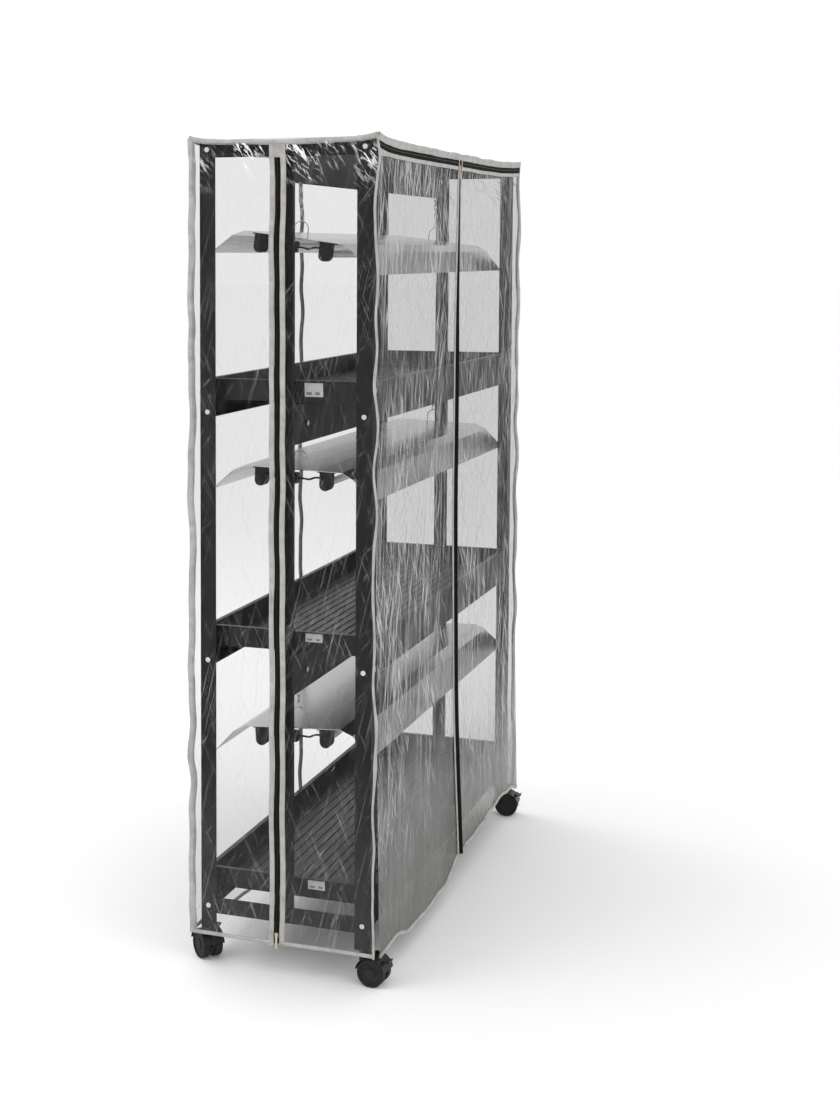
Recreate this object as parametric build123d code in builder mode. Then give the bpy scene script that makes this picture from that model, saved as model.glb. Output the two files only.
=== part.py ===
"""Three-tier grow-light plant stand on casters, inside a zipped clear cover.

Millimetres. +X runs along the stand, -Y is the front, +Z is up and the floor is Z = 0.
The origin is the middle of the stand at floor level.
"""
import os
from math import cos, pi, radians, sin, tan

from build123d import *

os.makedirs("parts", exist_ok=True)

# ---- Overall size -----------------------------------------------------------
LENGTH = 1290        # over the corner posts
DEPTH = 394          # over the corner posts
POST_FOOT = 77       # underside of the posts, on top of the casters
POST_TOP = 1824
RIMS = {1: 1305, 2: 757, 3: 209}     # rim height of each tray, tier 1 on top
SIDES = (-1, 1)
GAP = 0.3            # clearance between pieces that move apart

# ---- Frame: folded sheet steel ------------------------------------------------
STEEL = 2
ANGLE = 36           # width of a corner post's two flanges
CENTRE_WIDTH = 34    # centre post at mid-width of each end
CENTRE_FLANGE = 12
BAR_TOP = (1784, 1818)
BAR_BOTTOM = (113, 149)
RAIL_DROP = 83       # rim down to the rail's underside
RAIL_FLOOR = 27      # width of the rail's bottom flange
RAIL_RETURN = 7      # width of the rail's top return, which carries the tray
BEAM_WIDTH = 29.6
BEAM_HEIGHT = 87
BEAM_DROP = 140      # rim down to the underside of the beam below that tray
PLATE = 4            # foot plate that takes the caster's stem

# ---- Screws -------------------------------------------------------------------
SCREW_IN = 18        # screw centre, in from the post's outer edge
SHANK_R = 2.9
SCREW_HOLE_R = 3.1
HEAD_R = 5.4
HEAD_HEIGHT = 3
SOCKET_FLATS = 4

# ---- Trays ----------------------------------------------------------------------
TRAY_LENGTH = 1230
TRAY_WIDTH = 389
TRAY_DEPTH = 47.5
LIP = 8              # width of the rim that rests on the rails
LIP_THICK = 3
WALL = 2.5
WALL_LEAN = 5        # how far the walls lean in from rim to floor
RIB_PITCH = 22
RIB_WIDTH = 4
RIB_HEIGHT = 2

# ---- Light fixtures -------------------------------------------------------------
LIGHT_Z = {1: 1613, 2: 1110, 3: 537}         # top of each reflector's flat
LIGHT_TILT = {1: 7.5, 2: 2, 3: -3}           # degrees, positive with the front edge low
REFLECTOR_LENGTH = 1194
REFLECTOR_SHEET = 1.2
WINGS = [(112, 0), (139, -13), (184, -57)]   # half of the folded section
LAMP_Y = 75
LAMP_DROP = 27
LAMP_R = 8
LAMP_GLASS = 1
LAMP_LENGTH = 1149
HOLDER_WIDTH = 26
HOLDER_HEIGHT = 42
HOLDER_THICK = 24
HOLDER_FLANGE = (30, 40, 3)
HOLDER_X = 583
HANGER_X = 550
HANGER_R = 17
HANGER_LEG = 18
WIRE_R = 1.3
BOLT_UP = 42         # chain bolt above the beam's underside
BOLT_R = 3
CHAIN_R = 2.2
LEAD_R = 2.2         # jumper lead between the holders
CONNECTOR = (16, 22, 24)

# ---- Casters --------------------------------------------------------------------
TRAIL = 22
WHEEL_R = 31
WHEEL_WIDTH = 17.5
WHEEL_INNER = 6.3
HOOD_R = 34.5
HOOD_INNER = 32.5
HOOD_HALF = 26
WEB_HALF = 4.5
AXLE_R = 4
STEM_R = 5.5
BODY_TOP = 66           # top of a caster's plastic body, below the cover's hem
RUNNING_FIT = 0.06
HOOD_OPENS = 37      # height below which the hood is open
LEVER_HALF = 11
LEVER_REACH = 38.5   # axle to the brake lever's pin, up and back at 45 degrees
LEVER_PIN_R = 1.2
LEVER_HUB_R = 2.8
# heading of each caster, in degrees: the wheels trail behind it
CASTERS = {
    "front_left": (-1, -1, 84),
    "front_right": (1, -1, 96),
    "back_left": (-1, 1, 228),
    "back_right": (1, 1, 270),
}
BRAKED = ("front_left", "front_right")

# ---- Cover ----------------------------------------------------------------------
FILM = 0.6
COVER_X = 660
COVER_Y = 210
COVER_TOP = 1824.4
HEM = 70             # clear of the casters' hoods, which swivel under it
HEADER = 18          # strip above the zipper along the front's top edge
END_ZIP_Y = 12
FRONT_ZIP_X = 10
SLIDER_THICK = 2
BAIL_UP = 2.5        # bail above the slider's middle
BAIL_OUT = 3.9       # bail out from the cover
BAIL_R = 0.5
PULL_EYE_R = 1.1
PULL_THICK = 1
PULL_WIDTH = 4.8
PULL_LENGTH = 32

POST_X = LENGTH / 2 - SCREW_IN
POST_Y = DEPTH / 2 - SCREW_IN
END_FACE = LENGTH / 2 - STEEL        # inside face of a post's end flange
SIDE_FACE = DEPTH / 2 - STEEL        # inside face of a post's side flange
END_SCREW_HEIGHTS = [RIMS[1] - 72, RIMS[2] - 72, sum(BAR_BOTTOM) / 2, sum(BAR_TOP) / 2]
SIDE_SCREW_HEIGHTS = [rim - drop for rim in RIMS.values() for drop in (16, 66)]
BEAM_FLOORS = {
    1: BAR_TOP[1] - BEAM_HEIGHT,
    2: RIMS[1] - BEAM_DROP,
    3: RIMS[2] - BEAM_DROP,
}


def save(builder, node):
    """Label a finished piece and write it as one STEP file."""
    builder.part.label = node
    export_step(builder.part, f"parts/{node}.step")


def box_between(corner, opposite):
    """A box between two opposite corners, added to the current BuildPart."""
    size = [abs(b - a) for a, b in zip(corner, opposite)]
    middle = [(a + b) / 2 for a, b in zip(corner, opposite)]
    with Locations(tuple(middle)):
        Box(*size)


def end_plane(x, y, z, side):
    """Plane on an end of the stand, facing outwards, with its Y up."""
    return Plane(origin=(x, y, z), x_dir=(0, side, 0), z_dir=(side, 0, 0))


def side_plane(x, y, z, side):
    """Plane on a long side of the stand, facing outwards, with its Y up."""
    return Plane(origin=(x, y, z), x_dir=(-side, 0, 0), z_dir=(0, side, 0))


def screw_planes(corners=SIDES, fronts=SIDES):
    """Outward-facing planes of the frame screws on the chosen corner posts."""
    planes = []
    for sx in corners:
        for sy in fronts:
            for z in END_SCREW_HEIGHTS:
                planes.append(end_plane(sx * LENGTH / 2, sy * POST_Y, z, sx))
            for z in SIDE_SCREW_HEIGHTS:
                planes.append(side_plane(sx * POST_X, sy * DEPTH / 2, z, sy))
    return planes


def drill(planes, radius, depth):
    """Round holes, inwards from outward-facing planes."""
    for plane in planes:
        with BuildSketch(plane) as hole:
            Circle(radius)
        extrude(hole.sketch, amount=-depth, mode=Mode.SUBTRACT)


# ---- Corner posts, each with its foot plate -----------------------------------
for front, name in ((-1, "front_posts"), (1, "back_posts")):
    with BuildPart() as posts:
        for sx in SIDES:
            with BuildSketch(Plane.XY.offset(POST_FOOT)):
                with Locations((sx * (LENGTH - ANGLE) / 2, front * (DEPTH - STEEL) / 2)):
                    Rectangle(ANGLE, STEEL)
                with Locations((sx * (LENGTH - STEEL) / 2, front * (DEPTH - ANGLE) / 2)):
                    Rectangle(STEEL, ANGLE)
            extrude(amount=POST_TOP - POST_FOOT)
            with BuildSketch(Plane.XY.offset(POST_FOOT)):
                with Locations((sx * POST_X, front * POST_Y)):
                    Rectangle(2 * (SCREW_IN - STEEL), 2 * (SCREW_IN - STEEL))
                    Circle(STEM_R + RUNNING_FIT, mode=Mode.SUBTRACT)
            extrude(amount=PLATE)
        drill(screw_planes(fronts=(front,)), SCREW_HOLE_R, STEEL)
    save(posts, name)

# ---- Centre posts: channels open towards the middle of the stand ----------------
with BuildPart() as centre_posts:
    for sx in SIDES:
        web = END_FACE - STEEL
        half = CENTRE_WIDTH / 2
        box_between((sx * web, -half, BAR_BOTTOM[0]), (sx * (web - STEEL), half, BAR_TOP[1]))
        for sy in SIDES:
            box_between((sx * web, sy * half, BAR_BOTTOM[0]),
                        (sx * (web - CENTRE_FLANGE), sy * (half - STEEL), BAR_TOP[1]))
save(centre_posts, "centre_posts")

# ---- End bars --------------------------------------------------------------------
with BuildPart() as end_bars:
    for low, high in (BAR_TOP, BAR_BOTTOM):
        for sx in SIDES:
            box_between((sx * END_FACE, -SIDE_FACE, low),
                        (sx * (END_FACE - STEEL), SIDE_FACE, high))
    drill([plane for plane in screw_planes() if abs(plane.z_dir.X) > 0.5],
          SCREW_HOLE_R, 2 * STEEL)
save(end_bars, "end_bars")

# ---- Long rails: two channels per tier, with end tabs ---------------------------
for tier, rim in RIMS.items():
    floor = rim - RAIL_DROP
    top = rim - LIP_THICK - GAP
    # the lowest rail's tabs stop above the bottom bar, which bolts to the same flange
    tab_floor = max(floor, BAR_BOTTOM[1] + 1 if tier == 3 else 0)
    with BuildPart() as rails:
        for sy in SIDES:
            with BuildSketch(Plane.YZ.offset(-END_FACE + STEEL)):
                with Locations((sy * (SIDE_FACE - STEEL / 2), (floor + top) / 2)):
                    Rectangle(STEEL, top - floor)
                with Locations((sy * (SIDE_FACE - RAIL_FLOOR / 2), floor + STEEL / 2)):
                    Rectangle(RAIL_FLOOR, STEEL)
                with Locations((sy * (SIDE_FACE - RAIL_RETURN / 2), top - STEEL / 2)):
                    Rectangle(RAIL_RETURN, STEEL)
            extrude(amount=2 * (END_FACE - STEEL))
            for sx in SIDES:
                box_between((sx * END_FACE, sy * SIDE_FACE, tab_floor),
                            (sx * (END_FACE - STEEL), sy * (SIDE_FACE - RAIL_FLOOR), top))
        drill(screw_planes(), SCREW_HOLE_R, 2 * STEEL)
    save(rails, f"rails_{tier}")

# ---- Central beams that carry the lights: channels open at the bottom -----------
for number, floor in BEAM_FLOORS.items():
    half = END_FACE - 2 * STEEL
    with BuildPart() as beam:
        with BuildSketch(Plane.YZ.offset(-half)):
            with Locations((0, floor + BEAM_HEIGHT / 2)):
                Rectangle(BEAM_WIDTH, BEAM_HEIGHT)
            with Locations((0, floor + (BEAM_HEIGHT - STEEL) / 2)):
                Rectangle(BEAM_WIDTH - 2 * STEEL, BEAM_HEIGHT - STEEL, mode=Mode.SUBTRACT)
        extrude(amount=2 * half)
        for sx in SIDES:
            with BuildSketch(Plane.XZ.offset(-BEAM_WIDTH)):
                with Locations((sx * HANGER_X, floor + BOLT_UP)):
                    Circle(BOLT_R + 0.1)
            extrude(amount=2 * BEAM_WIDTH, mode=Mode.SUBTRACT)
    save(beam, f"light_beam_{number}")

# ---- Screws and chain bolts --------------------------------------------------------
with BuildPart() as frame_screws:
    for plane in screw_planes():
        with BuildSketch(plane):
            Circle(HEAD_R)
        extrude(amount=HEAD_HEIGHT)
        with BuildSketch(plane.offset(HEAD_HEIGHT)):
            RegularPolygon(SOCKET_FLATS / 2, 6, major_radius=False)
        extrude(amount=-HEAD_HEIGHT * 0.6, mode=Mode.SUBTRACT)
        with BuildSketch(plane):
            Circle(SHANK_R)
        extrude(amount=-2 * STEEL - 1)
save(frame_screws, "frame_screws")

with BuildPart() as chain_bolts:
    for floor in BEAM_FLOORS.values():
        for sx in SIDES:
            with BuildSketch(Plane.XZ.offset(-BEAM_WIDTH / 2 - 6)):
                with Locations((sx * HANGER_X, floor + BOLT_UP)):
                    Circle(BOLT_R)
            extrude(amount=BEAM_WIDTH + 12)
            for start in (-BEAM_WIDTH / 2 - 5, BEAM_WIDTH / 2):
                with BuildSketch(Plane.XZ.offset(start)):
                    with Locations((sx * HANGER_X, floor + BOLT_UP)):
                        RegularPolygon(5.5, 6, major_radius=False)
                extrude(amount=5)
save(chain_bolts, "chain_bolts")

# ---- Trays ---------------------------------------------------------------------------
for tier, rim in RIMS.items():
    inner_length = TRAY_LENGTH - 2 * LIP
    inner_width = TRAY_WIDTH - 2 * LIP
    with BuildPart() as tray:
        with BuildSketch(Plane.XY.offset(rim - LIP_THICK)):
            RectangleRounded(TRAY_LENGTH, TRAY_WIDTH, 16)
        extrude(amount=LIP_THICK)
        with BuildSketch(Plane.XY.offset(rim - TRAY_DEPTH)):
            RectangleRounded(inner_length - 2 * WALL_LEAN, inner_width - 2 * WALL_LEAN, 8)
        with BuildSketch(Plane.XY.offset(rim - LIP_THICK)):
            RectangleRounded(inner_length, inner_width, 10)
        loft()
        with BuildSketch(Plane.XY.offset(rim - TRAY_DEPTH + WALL)):
            RectangleRounded(inner_length - 2 * (WALL_LEAN + WALL),
                             inner_width - 2 * (WALL_LEAN + WALL), 6)
        with BuildSketch(Plane.XY.offset(rim + 1)):
            RectangleRounded(inner_length - 2 * WALL, inner_width - 2 * WALL, 8)
        loft(mode=Mode.SUBTRACT)
        ribs = int((inner_width - 2 * (WALL_LEAN + WALL) - RIB_PITCH) // RIB_PITCH)
        rib_length = inner_length - 2 * (WALL_LEAN + WALL) - RIB_PITCH
        with Locations((0, 0, rim - TRAY_DEPTH + WALL)):
            with GridLocations(1, RIB_PITCH, 1, ribs):
                Box(rib_length, RIB_WIDTH, RIB_HEIGHT,
                    align=(Align.CENTER, Align.CENTER, Align.MIN))
    save(tray, f"tray_{tier}")


# ---- Light fixtures -------------------------------------------------------------------
def light_plane(number):
    """The reflector flat's top face: origin in its middle, X along it, Z up through it."""
    tilt = radians(LIGHT_TILT[number])
    return Plane(origin=(0, 0, LIGHT_Z[number]), x_dir=(1, 0, 0),
                 z_dir=(0, -sin(tilt), cos(tilt)))


def section_plane(base, x):
    """Cross-section plane of a fixture at x, with its own Y to the right and Z up."""
    return Plane(origin=base.from_local_coords((x, 0, 0)), x_dir=base.y_dir,
                 z_dir=base.x_dir)


for number in LIGHT_Z:
    base = light_plane(number)

    with BuildPart() as reflector:
        with BuildSketch(section_plane(base, -REFLECTOR_LENGTH / 2)):
            with BuildLine():
                upper = [(-y, z) for y, z in reversed(WINGS)] + list(WINGS)
                lower = [(y, z - REFLECTOR_SHEET) for y, z in reversed(upper)]
                Polyline(upper + lower, close=True)
            make_face()
        extrude(amount=REFLECTOR_LENGTH)
    save(reflector, f"reflector_{number}")

    with BuildPart() as lamp_holders:
        for sx in SIDES:
            start = sx * HOLDER_X - HOLDER_THICK / 2
            for sy in SIDES:
                with BuildSketch(section_plane(base, start)):
                    round_z = -REFLECTOR_SHEET - HOLDER_HEIGHT + HOLDER_WIDTH / 2
                    with Locations((sy * LAMP_Y, round_z)):
                        Circle(HOLDER_WIDTH / 2)
                    with Locations((sy * LAMP_Y, (round_z - REFLECTOR_SHEET) / 2)):
                        Rectangle(HOLDER_WIDTH, -REFLECTOR_SHEET - round_z)
                extrude(amount=HOLDER_THICK)
                with BuildSketch(base.offset(-REFLECTOR_SHEET - HOLDER_FLANGE[2])):
                    with Locations((sx * (HOLDER_X - 2), sy * LAMP_Y)):
                        RectangleRounded(HOLDER_FLANGE[0] - 4, HOLDER_FLANGE[1], 4)
                extrude(amount=HOLDER_FLANGE[2])
                mouth = sx * (HOLDER_X - HOLDER_THICK / 2)
                with BuildSketch(section_plane(base, mouth)):
                    with Locations((sy * LAMP_Y, -LAMP_DROP)):
                        Circle(LAMP_R + 0.2)
                extrude(amount=sx * 4.5, mode=Mode.SUBTRACT)
    save(lamp_holders, f"lamp_holders_{number}")

    with BuildPart() as lamps:
        for sy in SIDES:
            with BuildSketch(section_plane(base, -LAMP_LENGTH / 2)):
                with Locations((sy * LAMP_Y, -LAMP_DROP)):
                    Circle(LAMP_R)
                    Circle(LAMP_R - LAMP_GLASS, mode=Mode.SUBTRACT)
            extrude(amount=LAMP_LENGTH)
    save(lamps, f"lamps_{number}")

    with BuildPart() as hanger_wires:
        for sx in SIDES:
            with BuildLine(section_plane(base, sx * HANGER_X)):
                Line((-HANGER_R, 0), (-HANGER_R, HANGER_LEG))
                ThreePointArc((-HANGER_R, HANGER_LEG), (0, HANGER_LEG + HANGER_R),
                              (HANGER_R, HANGER_LEG))
                Line((HANGER_R, HANGER_LEG), (HANGER_R, 0))
            foot = base.from_local_coords((sx * HANGER_X, -HANGER_R, 0))
            with BuildSketch(Plane(origin=foot, x_dir=(1, 0, 0), z_dir=base.z_dir)):
                Circle(WIRE_R)
            sweep()
    save(hanger_wires, f"hanger_wires_{number}")

    with BuildPart() as chains:
        for sx in SIDES:
            bolt = Vector(sx * HANGER_X, 0, BEAM_FLOORS[number] + BOLT_UP - BOLT_R - GAP)
            eye = base.from_local_coords(
                (sx * HANGER_X, 0, HANGER_LEG + HANGER_R + WIRE_R + 0.5))
            with BuildSketch(Plane(origin=eye, x_dir=(1, 0, 0), z_dir=bolt - eye)):
                Circle(CHAIN_R)
            extrude(amount=(bolt - eye).length)
    save(chains, f"chains_{number}")

    # jumper lead from the front lamp holder to the back one, sagging through a connector
    half_block = CONNECTOR[1] / 2
    lead_x = -HOLDER_X - 4
    lead_z = -16
    lead_spans = {
        -1: [(-LAMP_Y + HOLDER_WIDTH / 2, lead_z), (-49, lead_z), (-36, lead_z - 6),
             (-24, lead_z - 4), (-half_block, lead_z - 4)],
        1: [(half_block, lead_z - 4), (23, lead_z - 4), (36, lead_z - 8),
            (49, lead_z), (LAMP_Y - HOLDER_WIDTH / 2, lead_z)],
    }
    lead_length = 0
    with BuildPart() as jumper_lead:
        for points in lead_spans.values():
            radii = []
            for a, b, c in zip(points, points[1:], points[2:]):
                first, second = Vector(*a) - Vector(*b), Vector(*c) - Vector(*b)
                half_turn = radians((180 - first.get_angle(second)) / 2)
                radii.append(0.45 * min(first.length, second.length) / tan(half_turn))
            with BuildLine(section_plane(base, lead_x)) as line:
                FilletPolyline(points, radius=radii)
            route = line.wires()[0]
            lead_length += route.length
            with BuildSketch(Plane(origin=route @ 0, z_dir=route % 0)):
                Circle(LEAD_R)
            sweep(path=route)
            print(f"jumper_lead_{number} radii", [round(r, 1) for r in radii])
        print(f"jumper_lead_{number} length {lead_length:.1f}, volume",
              f"{jumper_lead.part.volume:.0f} of {pi * LEAD_R ** 2 * lead_length:.0f}")
    save(jumper_lead, f"jumper_lead_{number}")

    with BuildPart() as lead_connector:
        with BuildSketch(section_plane(base, lead_x - CONNECTOR[0] / 2)):
            with Locations((0, lead_z - 4)):
                Rectangle(CONNECTOR[1], CONNECTOR[2])
        extrude(amount=CONNECTOR[0])
        chamfer(lead_connector.edges().filter_by(Axis.X), 2)
    save(lead_connector, f"lead_connector_{number}")


# ---- Casters ----------------------------------------------------------------------------
def caster_plane(corner):
    """Floor-level plane under a post: X along the caster's heading, Z up."""
    sx, sy, heading = CASTERS[corner]
    return Plane(origin=(sx * POST_X, sy * POST_Y, 0),
                 x_dir=(cos(radians(heading)), sin(radians(heading)), 0), z_dir=(0, 0, 1))


def upright(base, y):
    """Upright plane along the caster's heading, y to its left: X forwards, Y up."""
    return Plane(origin=base.from_local_coords((0, y, 0)), x_dir=base.x_dir,
                 z_dir=-base.y_dir)


for corner in CASTERS:
    base = caster_plane(corner)
    axle = (-TRAIL, WHEEL_R)
    diagonal = cos(radians(45))
    pin = (-TRAIL - LEVER_REACH * diagonal, WHEEL_R + LEVER_REACH * diagonal)
    ear = (-TRAIL - (LEVER_REACH - 1) * diagonal, WHEEL_R + (LEVER_REACH - 1) * diagonal)

    with BuildPart() as caster_body:
        with BuildSketch(upright(base, WEB_HALF)):
            with Locations(axle):
                Circle(27)
            with Locations((-TRAIL / 2 + 5, (WHEEL_R + BODY_TOP) / 2)):
                Rectangle(TRAIL + 12, BODY_TOP - WHEEL_R)
            with Locations(axle):
                Circle(AXLE_R + RUNNING_FIT, mode=Mode.SUBTRACT)
        extrude(amount=2 * WEB_HALF)
        with BuildSketch(upright(base, HOOD_HALF)):
            with Locations(axle):
                Circle(HOOD_R)
                Circle(HOOD_INNER, mode=Mode.SUBTRACT)
            with Locations((-TRAIL, HOOD_OPENS - HOOD_R)):
                Rectangle(2 * HOOD_R, 2 * HOOD_R, mode=Mode.SUBTRACT)
        extrude(amount=2 * HOOD_HALF)
        # the stem and its bearing cap are a separate piece on top of the web
        with BuildSketch(base.offset(BODY_TOP + 0.1)):
            Circle(12)
        extrude(amount=POST_FOOT - 0.5 - BODY_TOP - 0.1)
        with BuildSketch(base.offset(BODY_TOP + 4)):
            Circle(STEM_R)
        extrude(amount=POST_FOOT + PLATE + 10 - BODY_TOP - 4)
        if corner in BRAKED:
            for start in (LEVER_HALF + 3, -LEVER_HALF):
                with BuildSketch(upright(base, start)):
                    with Locations(Location((ear[0], ear[1], 0), (0, 0, 135))):
                        Rectangle(8, 6)
                extrude(amount=3)
            with BuildSketch(upright(base, LEVER_HALF + 1)):
                with Locations(pin):
                    Circle(LEVER_PIN_R)
            extrude(amount=2 * LEVER_HALF + 2)
    save(caster_body, f"caster_body_{corner}")

    with BuildPart() as caster_wheels:
        for start in (WHEEL_INNER, -WHEEL_INNER - WHEEL_WIDTH):
            with BuildSketch(upright(base, start + WHEEL_WIDTH)):
                with Locations(axle):
                    Circle(WHEEL_R)
            extrude(amount=WHEEL_WIDTH)
        rims = caster_wheels.edges().filter_by(GeomType.CIRCLE)
        fillet(rims, 2.5)
        for side in SIDES:
            with BuildSketch(upright(base, side * (WHEEL_INNER + WHEEL_WIDTH))):
                with Locations(axle):
                    Circle(24)
                    Circle(12, mode=Mode.SUBTRACT)
            extrude(amount=side * 1.6, mode=Mode.SUBTRACT)
        with BuildSketch(upright(base, WHEEL_INNER + 1)):
            with Locations(axle):
                Circle(AXLE_R)
        extrude(amount=2 * WHEEL_INNER + 2)
    save(caster_wheels, f"caster_wheels_{corner}")

    if corner in BRAKED:
        with BuildPart() as brake_lever:
            with BuildSketch(upright(base, LEVER_HALF - 0.5)):
                with Locations(Location((pin[0], pin[1], 0), (0, 0, 10))):
                    with Locations((-6, 1)):
                        Rectangle(12, 2.6)
                    with Locations((-11, 2)):
                        Rectangle(2.4, 4.6)
                with Locations(pin):
                    Circle(LEVER_HUB_R)
                    Circle(LEVER_PIN_R + RUNNING_FIT, mode=Mode.SUBTRACT)
            extrude(amount=2 * LEVER_HALF - 1)
        save(brake_lever, f"brake_lever_{corner}")

# ---- Cover -----------------------------------------------------------------------------
inner_x = COVER_X - FILM
inner_y = COVER_Y - FILM
header_z = COVER_TOP + FILM - HEADER

with BuildPart() as cover_top:
    box_between((-inner_x, -COVER_Y, COVER_TOP), (inner_x, inner_y, COVER_TOP + FILM))
    box_between((-inner_x, -COVER_Y, header_z), (inner_x, -inner_y, COVER_TOP + FILM))
save(cover_top, "cover_top")

with BuildPart() as cover_back:
    box_between((-inner_x, inner_y, HEM), (inner_x, COVER_Y, COVER_TOP + FILM))
save(cover_back, "cover_back")

with BuildPart() as cover_right_end:
    box_between((inner_x, -COVER_Y, HEM), (COVER_X, COVER_Y, COVER_TOP + FILM))
save(cover_right_end, "cover_right_end")

# two halves that the end zipper joins
with BuildPart() as cover_left_end:
    box_between((-COVER_X, -COVER_Y, HEM), (-inner_x, END_ZIP_Y - 0.5, COVER_TOP + FILM))
    box_between((-COVER_X, END_ZIP_Y + 0.5, HEM), (-inner_x, COVER_Y, COVER_TOP + FILM))
save(cover_left_end, "cover_left_end")

for side, name in ((-1, "cover_flap_left"), (1, "cover_flap_right")):
    with BuildPart() as flap:
        box_between((side * (inner_x - 2), -COVER_Y, HEM),
                    (FRONT_ZIP_X + side * 0.5, -inner_y, header_z - 0.5))
    save(flap, name)


def zip_slider(base):
    """A zipper slider lying on the plane's face, with a bail across its upper part."""
    with BuildSketch(base.offset(GAP)) as body:
        RectangleRounded(8, 12, 2)
    extrude(body.sketch, amount=SLIDER_THICK)
    with BuildSketch(base.offset(GAP + SLIDER_THICK)) as ears:
        with Locations((-3.2, BAIL_UP), (3.2, BAIL_UP)):
            Rectangle(1.2, 2.4)
    extrude(ears.sketch, amount=BAIL_OUT + 0.7 - GAP - SLIDER_THICK)
    middle = base.from_local_coords((-3.2, BAIL_UP, BAIL_OUT))
    with BuildSketch(Plane(origin=middle, x_dir=base.z_dir, z_dir=base.x_dir)) as bail:
        Circle(BAIL_R)
    extrude(bail.sketch, amount=6.4)


def zip_pull(base):
    """The pull tab hanging from a slider's bail, over the slider's face."""
    middle = base.from_local_coords((-PULL_WIDTH / 2, BAIL_UP, BAIL_OUT))
    with BuildSketch(Plane(origin=middle, x_dir=base.z_dir, z_dir=base.x_dir)) as edge:
        Circle(PULL_EYE_R)
        with Locations((0, PULL_LENGTH / 2)):
            Rectangle(PULL_THICK, PULL_LENGTH)
        Circle(BAIL_R + RUNNING_FIT, mode=Mode.SUBTRACT)
    extrude(edge.sketch, amount=PULL_WIDTH)


# the front and top sliders lie wholly on one flap each, so that either flap can open
front_z = header_z - 0.5
ZIPS = {
    "end_zip": end_plane(-COVER_X, END_ZIP_Y, HEM + 20, -1),
    "front_zip": side_plane(FRONT_ZIP_X - 5, -COVER_Y, front_z - 20, -1),
    "top_zip_left": side_plane(FRONT_ZIP_X - 18, -COVER_Y, front_z - 7, -1),
    "top_zip_right": side_plane(FRONT_ZIP_X + 10, -COVER_Y, front_z - 7, -1),
}
for name, base in ZIPS.items():
    with BuildPart() as slider:
        zip_slider(base)
    save(slider, f"{name}_slider")
    with BuildPart() as pull:
        zip_pull(base)
    save(pull, f"{name}_pull")
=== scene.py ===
"""Three-tier grow-light plant stand inside a zipped clear cover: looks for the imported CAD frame.

Metres. +X runs along the stand, -Y is the front, +Z is up and the floor is Z = 0.
"""
from math import cos, exp, pi, radians, sin

import bpy
from mathutils import Euler, Matrix, Vector, noise


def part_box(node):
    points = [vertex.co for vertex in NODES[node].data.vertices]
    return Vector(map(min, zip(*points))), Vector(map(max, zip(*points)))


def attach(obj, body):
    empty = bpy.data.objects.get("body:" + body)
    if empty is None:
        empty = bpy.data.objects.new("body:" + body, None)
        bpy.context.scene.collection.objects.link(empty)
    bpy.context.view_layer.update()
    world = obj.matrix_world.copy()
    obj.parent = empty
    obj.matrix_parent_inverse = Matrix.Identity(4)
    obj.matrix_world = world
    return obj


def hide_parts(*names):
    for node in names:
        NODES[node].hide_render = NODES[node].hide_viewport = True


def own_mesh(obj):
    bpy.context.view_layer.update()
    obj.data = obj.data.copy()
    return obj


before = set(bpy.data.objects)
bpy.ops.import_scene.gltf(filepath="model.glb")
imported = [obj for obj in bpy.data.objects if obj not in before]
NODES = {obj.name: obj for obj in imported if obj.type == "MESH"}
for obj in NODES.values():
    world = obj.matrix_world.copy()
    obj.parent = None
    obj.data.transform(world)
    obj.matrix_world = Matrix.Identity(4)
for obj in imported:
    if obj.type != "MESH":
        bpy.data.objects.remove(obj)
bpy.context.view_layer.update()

TIERS = (1, 2, 3)
CORNERS = ("front_left", "front_right", "back_left", "back_right")

# ---- Places, read from the CAD nodes ---------------------------------------------------
top_low, top_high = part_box("cover_top")
left_low, left_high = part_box("cover_left_end")
flap_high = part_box("cover_flap_left")[1]
COVER_X = -left_low.x
COVER_Y = left_high.y
TOP = top_high.z
HEM = left_low.z
HEADER = top_low.z
FLAP_TOP = flap_high.z
FRONT_ZIP_X = flap_high.x + 0.0005
slider_low, slider_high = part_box("end_zip_slider")
END_ZIP_Y = (slider_low.y + slider_high.y) / 2

# ---- Camera: at the height of a standing person, close to the left end -----------------
camera_data = bpy.data.cameras.new("camera")
camera = bpy.data.objects.new("camera", camera_data)
bpy.context.scene.collection.objects.link(camera)
camera.location = (-4.2217, -1.3127, 1.5778)
camera.rotation_euler = Euler((radians(90 - 4.2), 0, radians(20.9 - 90)))
camera_data.sensor_fit = "AUTO"
camera_data.sensor_width = 36
camera_data.lens = 57.27
camera_data.shift_x = 0.1413
camera_data.shift_y = -0.1569
camera_data.clip_end = 200
bpy.context.scene.camera = camera


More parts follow.
